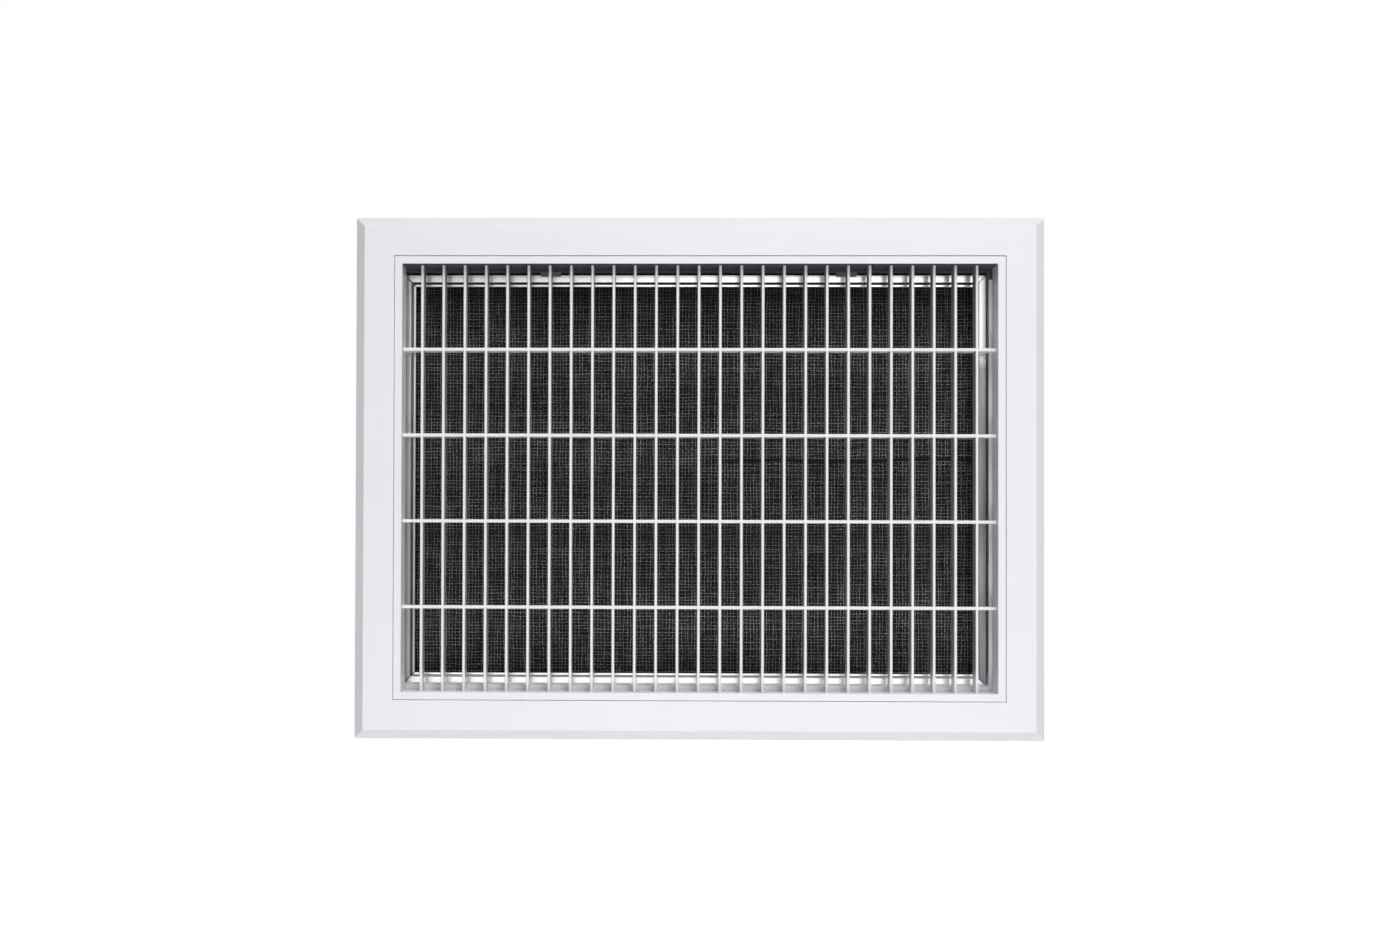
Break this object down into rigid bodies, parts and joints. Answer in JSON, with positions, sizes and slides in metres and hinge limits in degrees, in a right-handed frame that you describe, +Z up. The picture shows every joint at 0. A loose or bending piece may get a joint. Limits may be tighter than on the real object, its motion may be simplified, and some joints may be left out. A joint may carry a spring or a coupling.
{
  "type": "return air filter grille",
  "caption": "White plastic return air grille: bevelled surround, hinged core of upright fins and crossbars, and a framed net filter behind it.",
  "frame": {"origin": "centre of the opening, in the plane of the wall that the surround's face lies on", "axes": "+X along the grille's long side, +Z up, and the face looks towards -Y"},
  "size_m": [0.4016, 0.045, 0.3046],
  "materials": {
    "white_plastic": "satin",
    "pin_steel": "ground",
    "galvanised_sheet": "galvanised",
    "rivet_metal": "plain",
    "net": "woven",
    "wire": "galvanised"
  },
  "bodies": {
    "surround": {"surround": "white_plastic", "filter_rail_top": "galvanised_sheet", "filter_rail_bottom": "galvanised_sheet", "filter_rail_left": "galvanised_sheet", "filter_rail_right": "galvanised_sheet", "corner_rivets": "rivet_metal", "filter_net": "net", "net_wire": "wire"},
    "core": {"core": "white_plastic", "hinge_pin_left": "pin_steel", "hinge_pin_right": "pin_steel"}
  },
  "joints": [
    {"name": "core_hinge", "type": "hinge", "parent": "surround", "child": "core", "pos_m": [0, -0.006, -0.1245], "axis": [1, 0, 0], "range_deg": [0, 140]}
  ]
}
